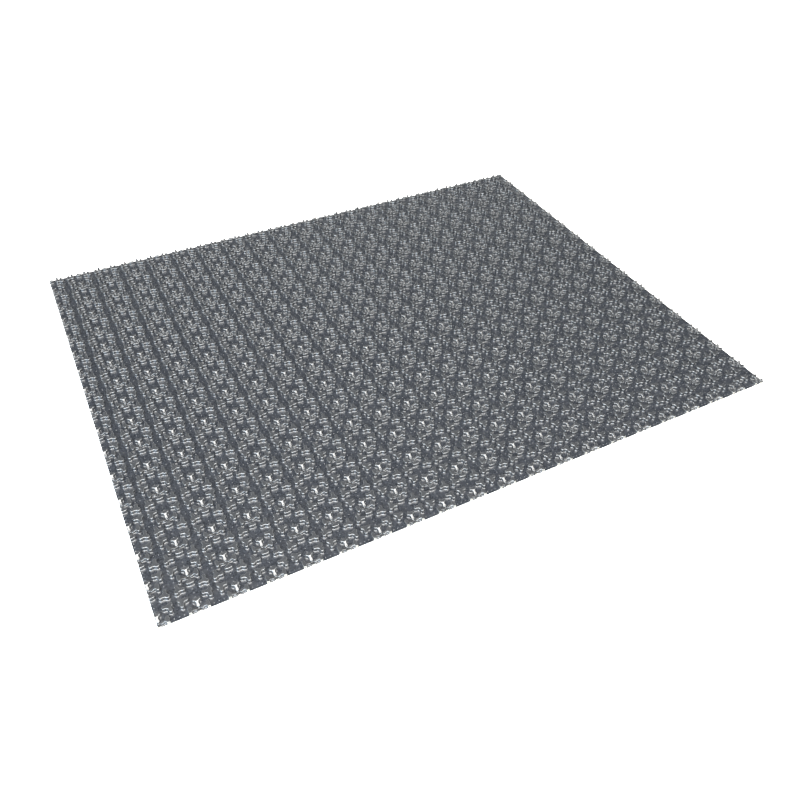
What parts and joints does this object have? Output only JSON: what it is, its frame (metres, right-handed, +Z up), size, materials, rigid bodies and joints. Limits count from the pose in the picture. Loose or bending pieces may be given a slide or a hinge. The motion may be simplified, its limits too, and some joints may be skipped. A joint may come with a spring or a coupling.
{
  "type": "underfloor heating uncoupling mat",
  "caption": "Flat rectangular sheet with a regular grid of low clamping studs on top, straight cable channels between them in both directions, and a fleece underside.",
  "frame": {"origin": "middle of the underside, where the fleece rests on the subfloor", "axes": "+X along the sheet's long side, +Y along its short side, +Z up through the studs towards the tiles"},
  "size_m": [1, 0.8, 0.0062],
  "materials": {
    "film": "satin thermoformed polypropylene, anthracite",
    "hot_melt": "thin milky hot-melt adhesive",
    "fleece": "needled nonwoven polypropylene fleece, pale grey"
  },
  "bodies": {
    "root": {"film_web": "film", "film_studs": "film", "bonding_layer": "hot_melt", "fleece_backing": "fleece"}
  },
  "joints": []
}
